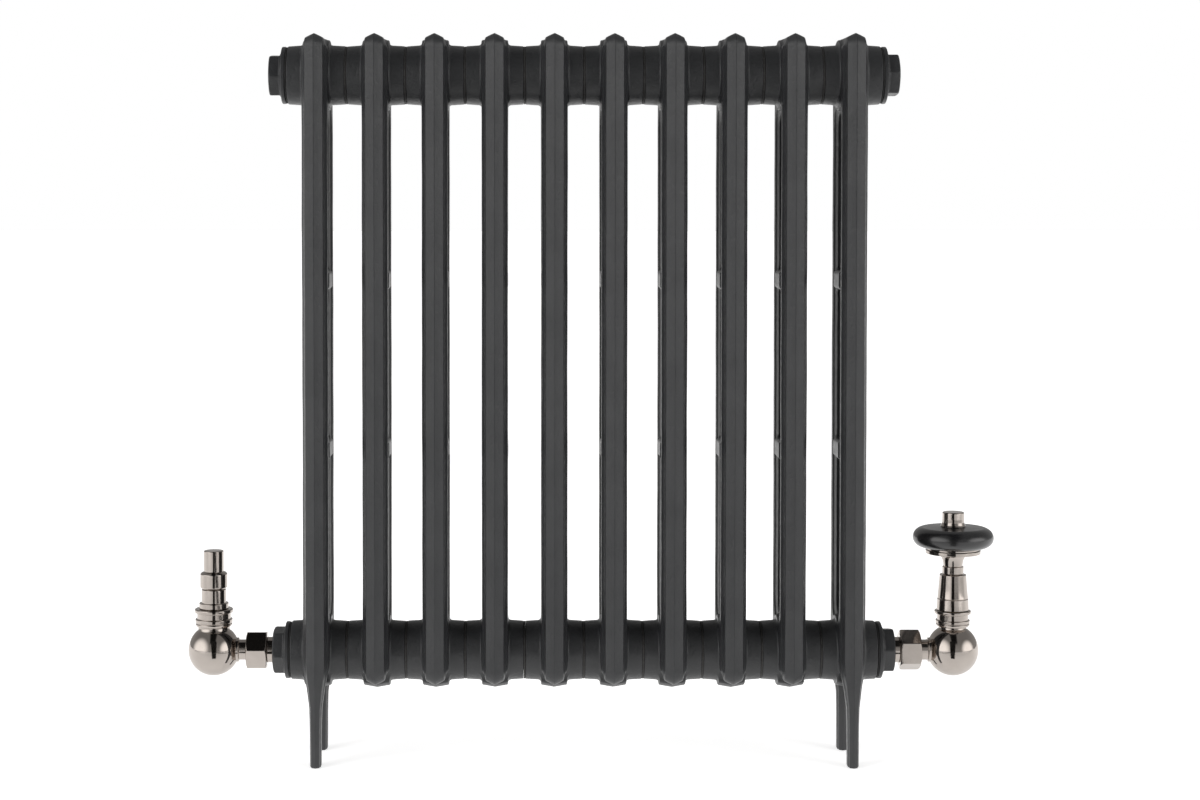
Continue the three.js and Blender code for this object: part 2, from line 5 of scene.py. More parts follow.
import bpy
import numpy as np
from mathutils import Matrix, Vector

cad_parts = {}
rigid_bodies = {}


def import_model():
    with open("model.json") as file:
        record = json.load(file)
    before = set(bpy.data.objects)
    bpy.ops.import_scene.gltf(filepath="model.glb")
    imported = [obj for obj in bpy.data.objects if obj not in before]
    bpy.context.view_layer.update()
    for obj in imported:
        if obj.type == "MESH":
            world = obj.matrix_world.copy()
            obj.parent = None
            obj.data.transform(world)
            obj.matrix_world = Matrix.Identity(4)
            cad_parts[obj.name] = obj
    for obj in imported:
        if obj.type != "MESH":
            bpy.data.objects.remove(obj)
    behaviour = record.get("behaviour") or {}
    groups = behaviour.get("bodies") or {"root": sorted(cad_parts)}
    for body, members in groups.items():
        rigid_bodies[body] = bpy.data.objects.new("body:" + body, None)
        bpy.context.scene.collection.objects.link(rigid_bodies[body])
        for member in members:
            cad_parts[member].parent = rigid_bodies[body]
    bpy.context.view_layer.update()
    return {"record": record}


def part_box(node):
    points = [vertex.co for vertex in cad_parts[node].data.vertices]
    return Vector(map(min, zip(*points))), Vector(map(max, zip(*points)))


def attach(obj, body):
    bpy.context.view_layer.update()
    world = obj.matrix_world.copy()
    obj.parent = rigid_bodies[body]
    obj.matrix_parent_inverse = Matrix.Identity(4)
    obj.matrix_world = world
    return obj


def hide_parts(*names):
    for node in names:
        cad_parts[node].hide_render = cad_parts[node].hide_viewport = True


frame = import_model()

MM = 0.001  # shapes are drawn in millimetres and stored in metres
SECTIONS = 10


# ------------------------------------------------------------------ places from the frame
def middle(node):
    low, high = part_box(node)
    return (low + high) / 2


PITCH = (middle("section_03").x - middle("section_02").x) / MM
ROW_START = middle("section_02").x / MM - PITCH  # middle of the first section
ROW_MIDDLE = ROW_START + PITCH * (SECTIONS - 1) / 2
HUB_HIGH = middle("plug_gasket_left").z / MM
HUB_LOW = middle("bush_gasket_left").z / MM
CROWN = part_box("section_05")[1].z / MM
HALF_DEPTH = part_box("section_05")[1].y / MM
HUB_REACH = (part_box("section_05")[1].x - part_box("section_05")[0].x) / MM / 2
LAST = ROW_START + PITCH * (SECTIONS - 1)
GASKET_GAP = 0.3
HIGH_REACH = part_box("plug_gasket_right")[0].x / MM - GASKET_GAP - LAST  # of the outermost hubs
LOW_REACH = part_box("bush_gasket_right")[0].x / MM - GASKET_GAP - LAST
TRV_X = middle("trv_pin").x / MM
SHIELD_X = middle("lockshield_spindle").x / MM

# ------------------------------------------------------------------ casting dimensions, in mm
HALF_WIDTH = 13.6  # half of a section's thickness
SKIRT = 81.5  # bottom of the columns
COLUMN_DEPTH = 36
CROWN_RADIUS = 14
SKIRT_RADIUS = 17
BOSS_RADIUS = 37.8  # squared part round a hub
BOSS_RIDGE = 2.3  # how far its middle ridge stands over its corners
BOSS_HALF_DEPTH = 21
HUB_RADIUS = 30.6
HUB_FACE_RADIUS = 29.6
SLOT_CLEAR = 39  # from a hub's middle to the slot between the columns
WEB_HEIGHTS = (317, 489)
WEB_HALF_HEIGHT = 10

# Drop of a column's surface behind its ridge, against the distance to the parting plane: two flat
# facets, a steep flank, and a shoulder that runs into the side.
RIDGE_X = (0.0, 4.6, 9.2, 10.0, 10.9, 11.6, 12.6, 13.2, 13.6)
RIDGE_DROP = (0.0, 2.1, 4.5, 6.4, 10.4, 11.9, 12.9, 14.6, 19.0)


# ------------------------------------------------------------------ meshes
def new_object(name, verts, faces, materials, normals=None, face_materials=None):
    mesh = bpy.data.meshes.new(name)
    mesh.from_pydata(np.asarray(verts, float).tolist(), [], [list(f) for f in faces])
    mesh.validate(clean_customdata=False)
    for material in materials:
        mesh.materials.append(material)
    mesh.polygons.foreach_set("use_smooth", np.ones(len(mesh.polygons), bool))
    if face_materials is not None:
        mesh.polygons.foreach_set("material_index", np.asarray(face_materials, np.int32))
    mesh.update()
    if normals is not None:
        mesh.normals_split_custom_set_from_vertices(np.asarray(normals, float).tolist())
    piece = bpy.data.objects.new(name, mesh)
    bpy.context.scene.collection.objects.link(piece)
    return piece


def smooth_max(a, b, k):
    h = np.clip(0.5 + 0.5 * (a - b) / k, 0, 1)
    return b + (a - b) * h + k * h * (1 - h)


def smooth_min(a, b, k):
    return -smooth_max(-a, -b, k)


def surface_net(xs, ys, zs, field):
    """Vertices and quads of the surface where field is zero, on a grid with uneven steps."""
    axes = (np.asarray(xs, float), np.asarray(ys, float), np.asarray(zs, float))
    values = field(*np.meshgrid(*axes, indexing="ij"))
    inside = values < 0
    shape = tuple(n - 1 for n in values.shape)
    corners = [(i, j, k) for i in (0, 1) for j in (0, 1) for k in (0, 1)]

    def corner(array, offset):
        i, j, k = offset
        return array[i:i + shape[0], j:j + shape[1], k:k + shape[2]]

    count = sum(corner(inside, c).astype(np.int8) for c in corners)
    cells = np.argwhere((count > 0) & (count < 8))
    number = -np.ones(shape, np.int64)
    number[tuple(cells.T)] = np.arange(len(cells))

    total = np.zeros((len(cells), 3))
    hits = np.zeros(len(cells))
    for a in corners:
        for b in corners:
            if sum(q - p for p, q in zip(a, b)) != 1 or any(q < p for p, q in zip(a, b)):
                continue
            ia, ib = cells + a, cells + b
            va, vb = values[tuple(ia.T)], values[tuple(ib.T)]
            crossed = (va < 0) != (vb < 0)
            t = np.where(crossed, va / np.where(crossed, va - vb, 1), 0)[:, None]
            pa = np.stack([axes[n][ia[:, n]] for n in range(3)], 1)
            pb = np.stack([axes[n][ib[:, n]] for n in range(3)], 1)
            total += np.where(crossed[:, None], pa + t * (pb - pa), 0)
            hits += crossed
    points = total / hits[:, None]
    low = np.stack([axes[n][cells[:, n]] for n in range(3)], 1)
    high = np.stack([axes[n][cells[:, n] + 1] for n in range(3)], 1)
    for _ in range(4):
        value, slope = gradient(field, points)
        points -= slope * (value / np.maximum((slope ** 2).sum(1), 1e-6))[:, None]
        points = np.clip(points, low, high)

    quads = []
    for n in range(3):
        u, v = (n + 1) % 3, (n + 2) % 3
        here = [slice(None)] * 3
        there = [slice(None)] * 3
        here[n], there[n] = slice(None, -1), slice(1, None)
        first, second = inside[tuple(here)], inside[tuple(there)]
        edges = np.argwhere(first != second)
        edges = edges[(edges[:, u] > 0) & (edges[:, v] > 0)]
        edges = edges[(edges[:, u] < shape[u]) & (edges[:, v] < shape[v])]
        ring = []
        for du, dv in ((-1, -1), (0, -1), (0, 0), (-1, 0)):
            cell = edges.copy()
            cell[:, u] += du
            cell[:, v] += dv
            ring.append(number[tuple(cell.T)])
        ring = np.stack(ring, 1)
        outward = first[tuple(edges.T)]
        quads.append(np.where(outward[:, None], ring, ring[:, ::-1]))
    return points, np.concatenate(quads)


def gradient(field, points, step=0.05):
    x, y, z = points.T
    value = field(x, y, z)
    slope = np.stack([
        field(x + step, y, z) - field(x - step, y, z),
        field(x, y + step, z) - field(x, y - step, z),
        field(x, y, z + step) - field(x, y, z - step),
    ], 1) / (2 * step)
    return value, slope


# ------------------------------------------------------------------ section castings
def rounded_rectangle(y, z, half_y, low, high, radius):
    centre, half = (low + high) / 2, (high - low) / 2
    qy = np.abs(y) - half_y + radius
    qz = np.abs(z - centre) - half + radius
    return np.hypot(np.maximum(qy, 0), np.maximum(qz, 0)) + np.minimum(np.maximum(qy, qz), 0) - radius


def drop_table(samples=137, reach=12, blur=3.5):
    """The ridge profile with its corners softened, and its slope. Reach and blur are in samples."""
    x = np.linspace(0, HALF_WIDTH, samples)
    drop = np.interp(x, RIDGE_X, RIDGE_DROP)
    kernel = np.exp(-0.5 * (np.arange(-reach, reach + 1) / blur) ** 2)
    beyond = drop[-1] + (drop[-1] - drop[-2]) * np.arange(1, reach + 1)
    padded = np.concatenate([drop[reach:0:-1], drop, beyond])
    drop = np.convolve(padded, kernel / kernel.sum(), "valid")
    return x, drop - drop[0], np.gradient(drop, x)


DROP_X, DROP, DROP_SLOPE = drop_table()

# A foot's half width and the place of its back, against the height
FOOT_Z = (0, 38, 60, 80, 90, 104, 120)
FOOT_HALF = (6.0, 6.3, 6.9, 9.8, 11.9, 13.4, 13.6)
FOOT_BACK = (27.5, 27.5, 27.0, 25.0, 24.0, 22.0, 22.0)


def outline_field(y, z, has_feet):
    """Distance to a section's outline, seen from the side."""
    if has_feet:
        outside = rounded_rectangle(y, z, HALF_DEPTH, -60, CROWN, CROWN_RADIUS)
        back = np.interp(z, FOOT_Z, FOOT_BACK)
        outside = smooth_max(outside, smooth_min(SKIRT - z, back - np.abs(y), 14), 1)
    else:
        radius = np.where(z > (SKIRT + CROWN) / 2, CROWN_RADIUS, SKIRT_RADIUS)
        outside = rounded_rectangle(y, z, HALF_DEPTH, SKIRT, CROWN, radius)
    inner = HALF_DEPTH - COLUMN_DEPTH
    slot = rounded_rectangle(y, z, inner, HUB_LOW + SLOT_CLEAR, HUB_HIGH - SLOT_CLEAR, inner - 1)
    return np.maximum(outside, -slot)


def columns_field(x, y, z, has_feet):
    half = np.interp(z, FOOT_Z, FOOT_HALF) if has_feet else HALF_WIDTH
    across = np.abs(x)
    scaled = across * HALF_WIDTH / half
    drop = np.interp(scaled, DROP_X, DROP) * half / HALF_WIDTH
    slope = np.interp(scaled, DROP_X, DROP_SLOPE)
    flank = (outline_field(y, z, has_feet) + drop) / np.sqrt(1 + slope ** 2)
    body = smooth_max(flank, across - half, 0.8)
    return smooth_max(body, -z, 2.2) if has_feet else body


def hub_field(x, y, z, hub_z, left, right):
    across = np.abs(x)
    around = np.hypot(y, z - hub_z)
    boss = smooth_max(around - BOSS_RADIUS + BOSS_RIDGE * across / HALF_WIDTH, across - HALF_WIDTH, 1.4)
    boss = smooth_max(boss, np.abs(y) - BOSS_HALF_DEPTH, 1.5)
    radius = np.interp(across, (HALF_WIDTH, HUB_REACH), (HUB_RADIUS, HUB_FACE_RADIUS))
    reach = np.where(x > 0, right, left)
    barrel = smooth_max(around - radius, across - reach, 1.0)
    return smooth_min(boss, barrel, 3.0)


def web_field(x, y, z, web_z):
    soft = 4
    qx = np.abs(x) - 13.2 + soft
    qy = np.abs(y) - 22 + soft
    qz = np.abs(z - web_z) - WEB_HALF_HEIGHT + soft
    out = np.sqrt(np.maximum(qx, 0) ** 2 + np.maximum(qy, 0) ** 2 + np.maximum(qz, 0) ** 2)
    return out + np.minimum(np.maximum(np.maximum(qx, qy), qz), 0) - soft


def casting_field(left, right, has_feet):
    def field(x, y, z):
        body = columns_field(x, y, z, has_feet)
        for web_z in WEB_HEIGHTS:
            body = smooth_min(body, web_field(x, y, z, web_z), 3.5)
        for hub_z, row in ((HUB_LOW, 0), (HUB_HIGH, 1)):
            body = smooth_min(body, hub_field(x, y, z, hub_z, left[row], right[row]), 1.6)
        return body

    return field


def stations(*runs):
    """Grid places: each run is (start, end, step)."""
    parts = [np.linspace(a, b, max(2, round((b - a) / step) + 1)) for a, b, step in runs]
    return np.unique(np.round(np.concatenate(parts), 4))


def casting_grid(left, right, has_feet):
    half_x = stations((0, 1.2, 0.6), (1.2, 8.8, 1.3), (8.8, 14.2, 0.6), (14.2, 17, 0.93))
    barrels = []
    for sign, reaches in ((-1, left), (1, right)):
        nearest, furthest = min(reaches) - 1.8, max(reaches) + 1.2
        barrels += [sign * stations((17, nearest, 2.6), (nearest, furthest, 0.6))]
    xs = np.unique(np.concatenate([-half_x, half_x, *barrels]))
    half_y = stations((0, 50.4, 1.5), (46, 51, 1.0))
    ys = np.unique(np.concatenate([-half_y, half_y]))
    zs = [stations((69, 160, 1.6), (160, 300, 9), (300, 334, 1.6), (334, 472, 9),
                   (472, 506, 1.6), (506, 648, 9), (648, 720, 1.6), (720, 738.5, 1.0))]
    if has_feet:
        zs.append(stations((-0.9, 3, 0.65), (3, 36, 3), (36, 69, 1.8)))
    return xs, ys, np.unique(np.concatenate(zs))


def sand_waves(p, phase):
    """Slow unevenness of a sand casting, in mm."""
    x, y, z = p.T
    return (0.10 * np.sin(z / 23 + phase) * np.sin(y / 17 + 2 * phase)
            + 0.08 * np.sin(z / 61 + x / 19 + 3 * phase) + 0.05 * np.sin(z / 9 + 5 * phase) * np.sin(x / 7))


def weathered(points, normals, phase):
    """Points pushed along their normals by the waves, and the normals tilted to match."""
    step = 0.5
    height = sand_waves(points, phase)
    slope = np.stack([
        (sand_waves(points + step * axis, phase) - sand_waves(points - step * axis, phase)) / (2 * step)
        for axis in np.eye(3)
    ], 1)
    slope -= normals * (slope * normals).sum(1, keepdims=True)
    tilted = normals - slope
    return (points + normals * (height - 0.25)[:, None],
            tilted / np.linalg.norm(tilted, axis=1, keepdims=True))


def casting(left, right, has_feet):
    field = casting_field(left, right, has_feet)
    points, quads = surface_net(*casting_grid(left, right, has_feet), field)
    return points, quads, gradient(field, points)[1]


# ------------------------------------------------------------------ turned and hexagonal parts
def unit(v):
    return v / np.maximum(np.linalg.norm(v, axis=-1, keepdims=True), 1e-9)


def rounded_profile(corners, steps=5):
    """Points and normals along a profile of (radius, place, fillet) corners.

    A fillet of 0 keeps the corner as one point, for a curve drawn point by point."""
    corners = [tuple(c) + (0.3,) * (3 - len(c)) for c in corners]
    places = np.array([c[:2] for c in corners], float)
    points, normals = [], []
    for i, (r, z, fillet) in enumerate(corners):
        here = places[i]
        before = unit(here - places[i - 1]) if i else None
        after = unit(places[i + 1] - here) if i + 1 < len(corners) else None
        if before is None or after is None:
            along = after if before is None else before
            points.append(here)
            normals.append((along[1], -along[0]))
            continue
        turn = np.arctan2(before[0] * after[1] - before[1] * after[0], before @ after)
        if fillet == 0 or abs(turn) < 0.02:
            along = unit(before + after)
            points.append(here)
            normals.append((along[1], -along[0]))
            continue
        room = 0.49 * min(np.linalg.norm(here - places[i - 1]), np.linalg.norm(places[i + 1] - here))
        reach = min(fillet * math.tan(abs(turn) / 2), room)
        radius = reach / math.tan(abs(turn) / 2)
        side = math.copysign(1, turn)
        start = here - before * reach
        centre = start + side * radius * np.array([-before[1], before[0]])
        for k in range(steps + 1):
            angle = turn * k / steps
            c, s = math.cos(angle), math.sin(angle)
            along = np.array([c * before[0] - s * before[1], s * before[0] + c * before[1]])
            points.append(centre - side * radius * np.array([-along[1], along[0]]))
            normals.append((along[1], -along[0]))
    return np.array(points), np.array(normals)


def turned(corners, around=96, steps=5):
    """A turned piece about Z from a profile that runs upwards on its outside."""
    profile, across = rounded_profile(corners, steps)
    angles = np.linspace(0, 2 * math.pi, around, endpoint=False)
    c, s = np.cos(angles), np.sin(angles)
    n = len(profile)
    r = np.maximum(profile[:, 0], 1e-4)[:, None]
    points = np.stack([r * c, r * s, np.repeat(profile[:, 1:2], around, 1)], 2).reshape(-1, 3)
    normals = np.stack([across[:, :1] * c, across[:, :1] * s, np.repeat(across[:, 1:2], around, 1)], 2)
    row, column = np.meshgrid(np.arange(n - 1), np.arange(around), indexing="ij")
    right = (column + 1) % around
    quads = np.stack([row * around + column, row * around + right,
                      (row + 1) * around + right, (row + 1) * around + column], 2).reshape(-1, 4)
    return points, quads, normals.reshape(-1, 3)


def arc(radius, start, end, steps=40):
    """Profile points on a circle about the origin, angles in degrees from the horizontal."""
    angles = np.radians(np.linspace(start, end, steps + 1))
    return [(radius * math.cos(a), radius * math.sin(a), 0) for a in angles]


def hexagonal(corner, first, low, high, bevels, edge=0.5, step=0.65, hub=None):
    """A hexagonal bar about Z with its first corner at an angle in degrees, its ends bevelled by
    cones, and round parts of (radius, low, high, rounding) joined to it."""
    flat = corner * math.cos(math.pi / 6)
    slopes = [math.radians(first + 30 + 60 * i) for i in range(3)]

    def field(x, y, z):
        body = None
        for angle in slopes:
            side = np.abs(x * math.cos(angle) + y * math.sin(angle)) - flat
            body = side if body is None else smooth_max(body, side, edge)
        radius = np.hypot(x, y)
        body = smooth_max(body, np.maximum(z - high, low - z), edge)
        for sign, end, bevel in ((-1, low, bevels[0]), (1, high, bevels[1])):
            cone = (radius - corner + bevel) * 0.5 + sign * (z - end) * 0.866
            body = smooth_max(body, cone, edge)
        for ring_radius, ring_low, ring_high, rounding in hub or ():
            ring = smooth_max(radius - ring_radius, np.maximum(z - ring_high, ring_low - z), rounding)
            body = smooth_min(body, ring, 0.8)
        return body

    widest = max([corner] + [ring[0] for ring in hub or ()]) + 1.5
    lowest = min([low] + [ring[1] for ring in hub or ()]) - 1
    highest = max([high] + [ring[2] for ring in hub or ()]) + 1
    across = np.arange(-widest, widest + step, step)
    along = np.arange(lowest, highest + step, step * 0.8)
    points, quads = surface_net(across, across, along, field)
    return points, quads, unit(gradient(field, points)[1])


TO_X = np.array([[0, 0, 1], [1, 0, 0], [0, 1, 0]], float)  # Z onto X, X onto Y, Y onto Z
TO_Y = np.array([[0, 1, 0], [0, 0, 1], [1, 0, 0]], float)  # Z onto Y, Y onto X, X onto Z
HALF_TURN = np.diag([-1.0, -1.0, 1.0])


def moved(shape, offset, *matrices):
    points, quads, normals = shape
    for matrix in matrices:
        points, normals = points @ matrix.T, normals @ matrix.T
    return points + np.asarray(offset, float), quads, normals


def joined(*shapes):
    points = np.concatenate([s[0] for s in shapes])
    normals = np.concatenate([s[2] for s in shapes])
    starts = np.cumsum([0] + [len(s[0]) for s in shapes[:-1]])
    quads = np.concatenate([s[1] + start for s, start in zip(shapes, starts)])
    return points, quads, normals


def piece(name, shape, slot, body, node):
    """A visible piece that rides a body and stands in for a node of the frame."""
    points, quads, normals = shape
    made = new_object(name, points * MM, quads, [MATERIALS[slot]], unit(normals))
    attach(made, body)
    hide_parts(node)


# ------------------------------------------------------------------ materials
class Nodes:
    """Short names for building a node tree."""

    def __init__(self, tree):
        self.tree = tree
        tree.nodes.clear()

    def add(self, kind, inputs=(), **settings):
        node = self.tree.nodes.new(kind)
        for key, value in settings.items():
            setattr(node, key, value)
        for key, value in dict(inputs).items():
            if isinstance(value, bpy.types.NodeSocket):
                self.tree.links.new(value, node.inputs[key])
            else:
                node.inputs[key].default_value = value
        return node

    def noise(self, where, scale, detail=3.0, roughness=0.5):
        return self.add("ShaderNodeTexNoise", {
            "Vector": where, "Scale": scale, "Detail": detail, "Roughness": roughness}).outputs["Fac"]

    def between(self, factor, low, high, start=0.35, end=0.65):
        return self.add("ShaderNodeMapRange", {
            "Value": factor, "From Min": start, "From Max": end, "To Min": low, "To Max": high,
        }).outputs["Result"]

    def mix(self, factor, first, second):
        node = self.tree.nodes.new("ShaderNodeMix")
        node.data_type = "RGBA"
        colours = [s for s in node.inputs if s.type == "RGBA"]
        for socket, value in zip([node.inputs[0], *colours], (factor, first, second)):
            if isinstance(value, bpy.types.NodeSocket):
                self.tree.links.new(value, socket)
            else:
                socket.default_value = value if socket.type == "VALUE" else (*value, 1)
        return [s for s in node.outputs if s.type == "RGBA"][0]

    def bump(self, height, distance, strength=1.0, normal=None):
        inputs = {"Height": height, "Distance": distance, "Strength": strength}
        if normal is not None:
            inputs["Normal"] = normal
        return self.add("ShaderNodeBump", inputs).outputs["Normal"]


def new_material(name):
    material = bpy.data.materials.new(name)
    material.use_nodes = True
    nodes = Nodes(material.node_tree)
    where = nodes.add("ShaderNodeTexCoord").outputs["Object"]
    shader = nodes.add("ShaderNodeBsdfPrincipled")
    nodes.add("ShaderNodeOutputMaterial", {"Surface": shader.outputs["BSDF"]})
    return material, nodes, where, shader


def connect(nodes, shader, **inputs):
    for key, value in inputs.items():
        socket = shader.inputs[key.replace("_", " ")]
        if isinstance(value, bpy.types.NodeSocket):
            nodes.tree.links.new(value, socket)
        else:
            socket.default_value = value


def paint_material():
    """Satin charcoal paint over the grain and the shallow pits of a sand casting."""
    material, nodes, where, shader = new_material("satin_charcoal_paint")
    grain = nodes.noise(where, 900, 4, 0.6)
    pits = nodes.noise(where, 210, 3, 0.55)
    slow = nodes.noise(where, 28, 2)
    normal = nodes.bump(grain, 0.00010, 0.6)
    normal = nodes.bump(nodes.between(pits, 0, 1, 0.3, 0.5), 0.00022, 0.6, normal)
    normal = nodes.bump(slow, 0.0009, 0.5, normal)
    colour = nodes.mix(nodes.between(slow, 0, 1), (0.0165, 0.0172, 0.0185), (0.0215, 0.0222, 0.0235))
    connect(nodes, shader, Base_Color=colour, Roughness=nodes.between(pits, 0.33, 0.42), Normal=normal)
    return material


def nickel_material():
    """Bright nickel plate, slightly warm, with the faint unevenness of hand polishing."""
    material, nodes, where, shader = new_material("polished_nickel")
    slow = nodes.noise(where, 60, 2)
    fine = nodes.noise(where, 700, 2)
    normal = nodes.bump(slow, 0.00006, 0.6)
    colour = nodes.mix(nodes.between(slow, 0, 1), (0.43, 0.388, 0.355), (0.46, 0.417, 0.383))
    connect(nodes, shader, Base_Color=colour, Metallic=1.0, Roughness=nodes.between(fine, 0.07, 0.11),
            Normal=normal)
    return material


def plain_material(name, low, high, roughness, metallic=0.0, scale=300, depth=0.00004, ior=1.5):
    """A colour that varies a little between two tones, with a fine unevenness."""
    material, nodes, where, shader = new_material(name)
    fine = nodes.noise(where, scale, 3)
    colour = nodes.mix(nodes.between(fine, 0, 1), low, high)
    connect(nodes, shader, Base_Color=colour, Metallic=metallic, IOR=ior,
            Roughness=nodes.between(fine, roughness * 0.9, roughness * 1.1),
            Normal=nodes.bump(fine, depth, 0.5))
    return material


MATERIALS = {
    "paint": paint_material(),
    "nickel": nickel_material(),
    "black": plain_material("black_gloss", (0.006, 0.006, 0.0065), (0.008, 0.008, 0.0085), 0.22,
                            scale=120, depth=0.00001, ior=1.7),
    "gasket": plain_material("black_rubber", (0.010, 0.010, 0.010), (0.016, 0.016, 0.016), 0.75),
    "iron": plain_material("machined_iron", (0.030, 0.029, 0.028), (0.05, 0.048, 0.046), 0.55, 0.6),
    "brass": plain_material("machined_brass", (0.55, 0.40, 0.17), (0.62, 0.46, 0.21), 0.28, 1.0),
    "steel": plain_material("ground_steel", (0.52, 0.52, 0.53), (0.58, 0.58, 0.59), 0.25, 1.0),
}
for row in frame["record"]["subparts"]:
    for material_slot in bpy.data.objects[row["node"]].material_slots:
        material_slot.material = MATERIALS[row["material_slot"]]

# ------------------------------------------------------------------ sections and their joints
INNER = (HUB_REACH, HUB_REACH)  # reaches of the lower and the upper hub
OUTER = (LOW_REACH, HIGH_REACH)
CASTINGS = {
    "first": casting(OUTER, INNER, True),
    "middle": casting(INNER, INNER, False),
    "last": casting(INNER, OUTER, True),
}
for i in range(SECTIONS):
    kind = {0: "first", SECTIONS - 1: "last"}.get(i, "middle")
    points, quads, normals = CASTINGS[kind]
    points, normals = weathered(points, unit(normals), 2.4 * i)
    shape = moved((points, quads, normals), (ROW_START + PITCH * i, 0, 0))
    piece(f"casting_{i + 1:02d}", shape, "paint", "radiator", f"section_{i + 1:02d}")

NIPPLE = moved(turned([(0, -14), (20.2, -14, 0.8), (20.2, -1, 0.1), (29.1, -1, 0.3), (29.1, 1, 0.3),
                       (20.2, 1, 0.1), (20.2, 14, 0.8), (0, 14)]), (0, 0, 0), TO_X)
for i in range(1, SECTIONS):
    for row, z in (("top", HUB_HIGH), ("bottom", HUB_LOW)):
        shape = moved(NIPPLE, (ROW_START + PITCH * (i - 0.5), 0, z))
        piece(f"joint_{row}_{i:02d}", shape, "iron", "radiator", f"nipple_{row}_{i:02d}")

# ------------------------------------------------------------------ plugs and bushes
GASKET = turned([(21.5, 0.2), (28.4, 0.2, 0.25), (28.4, 1.4, 0.25), (21.5, 1.4)])
SIDES = {"left": (-1, HALF_TURN), "right": (1, np.eye(3))}


def end_fitting(corner, first, tip, dome):
    """Flange, step and chamfered hexagonal head of a plug or a bush, from the hub's face up."""
    flange_end = 6.0
    rings = [(28.9, 1.6, flange_end, 1.3), (corner * 0.985, flange_end - 2, flange_end + 1.9, 1.2),
             (20.2, -13.5, 3.0, 0.8)]
    return hexagonal(corner, first, 2, tip, (0, dome), edge=1.1, step=0.8, hub=rings)


for side, (sign, turn) in SIDES.items():
    for node, gasket_node, z, corner, first, dome in (
        ("plug_top", "plug_gasket", HUB_HIGH, 22.7, -6, 2.2),
        ("bush_bottom", "bush_gasket", HUB_LOW, 24.3, -8, 2.6),
    ):
        face = min(abs(place.x / MM - ROW_MIDDLE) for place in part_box(f"{gasket_node}_{side}")) - GASKET_GAP
        tip = max(abs(place.x / MM - ROW_MIDDLE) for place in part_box(f"{node}_{side}")) - face
        start = (ROW_MIDDLE + sign * face, 0, z)
        head = moved(end_fitting(corner, first, tip - 0.1, dome), start, TO_X, turn)
        piece(f"{node}_{side}_head", head, "paint", "radiator", f"{node}_{side}")
        ring = moved(GASKET, start, TO_X, turn)
        piece(f"{gasket_node}_{side}_ring", ring, "gasket", "radiator", f"{gasket_node}_{side}")

# ------------------------------------------------------------------ valves
BALL = HUB_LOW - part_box("trv_body")[0].z / MM  # radius of the ball
TRV_NUT_CORNER = 32.4  # first corners of the union nuts, in degrees
SHIELD_NUT_CORNER = 7.2
RIM_RADIUS = 29.2  # middle of the wheel's oval rim, from its axis
RIM_HEIGHT = 115.4
RIM_HALF_HEIGHT = 10.3
RIM_WIDENING = 1.13  # its width against its height


def ball_profile(collar):
    return arc(BALL, -90, math.degrees(math.acos(collar / BALL)))


def union(name, sign, turn, valve_x, first):
    """Tail, hexagonal nut and neck between the bush and the ball."""
    low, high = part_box(f"{name}_union_nut")
    start, end = ((low.x, high.x) if sign > 0 else (-high.x, -low.x))
    start, end = start / MM, end / MM
    centre = (0, 0, HUB_LOW)
    nut = hexagonal(20.9, first, start + 0.1, end - 0.1, (2.2, 2.6), edge=0.45, step=0.5,
                    hub=[(17.2, start, start + 2, 0.4)])
    piece(f"{name}_nut", moved(nut, centre, TO_X, turn), "nickel", "radiator", f"{name}_union_nut")
    tail = turned([(7.5, start - 20, 0.2), (12, start - 20, 0.5), (12, start - 6, 0.2),
                   (13, start - 6, 0.4), (13, start - 0.3, 0.6), (9.4, start + 0.4, 0.2), (9.4, start + 9)])
    piece(f"{name}_tail", moved(tail, centre, TO_X, turn), "nickel", "radiator", f"{name}_union_tail")
    ball_x = abs(valve_x)
    neck = turned([(10.4, end - 8, 0.2), (10.4, ball_x - BALL + 0.4, 0.6), (12.4, ball_x - BALL + 0.4, 0.8),
                   (12.4, ball_x - 15)])
    return moved(neck, centre, TO_X, turn)


def valve_body(name, sign, turn, valve_x, first, rings):
    centre = (valve_x, 0, HUB_LOW)
    body = moved(turned(ball_profile(rings[0][0]) + rings), centre)
    boss = turned([(7.8, 12), (12.2, 12, 0.2), (12.2, 25.8, 0.8), (10.8, 27.0, 0.4), (10.8, 38, 0.3),
                   (7.8, 38)])
    neck = union(name, sign, turn, valve_x, first)
    shape = joined(body, moved(boss, centre, TO_Y), neck)
    piece(f"{name}_ball", shape, "nickel", "radiator", f"{name}_body")
    low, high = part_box(f"{name}_inlet_nut")
    nut = hexagonal(14.9, 0, low.y / MM + 0.1, high.y / MM - 0.1, (1.6, 1.6), edge=0.4, step=0.5)
    piece(f"{name}_pipe_nut", moved(nut, centre, TO_Y), "nickel", "radiator", f"{name}_inlet_nut")
    return centre


# Thermostatic valve: rings over the ball, bell, turning stem with its plate, wheel and cap
TRV_CENTRE = valve_body("trv", *SIDES["right"], TRV_X, TRV_NUT_CORNER, [
    (14, 24.4, 0.5), (16.4, 24.7, 0.7), (17.3, 26.6, 0.8), (16.7, 27.6, 0.3), (17.4, 28.4, 0.6),
    (17.4, 31.2, 1.0), (15.8, 31.2, 0.4), (15.8, 37.2, 0.5), (18.6, 37.2, 1.4), (18.6, 41.0, 1.4),
    (12.8, 41.0)])
BELL_SHAPE = turned([(12.8, 41.4), (16.4, 41.4, 0.4), (16.1, 46, 0), (15.8, 52.4, 0.2), (15.2, 53, 0.2),
                     (15.6, 53.6, 0.2), (15.2, 57, 0), (14.7, 63, 0), (14.1, 70, 0), (13.5, 77.6, 0.9),
                     (7.4, 77.6)])
piece("trv_bell_shell", moved(BELL_SHAPE, TRV_CENTRE), "nickel", "radiator", "trv_bell")

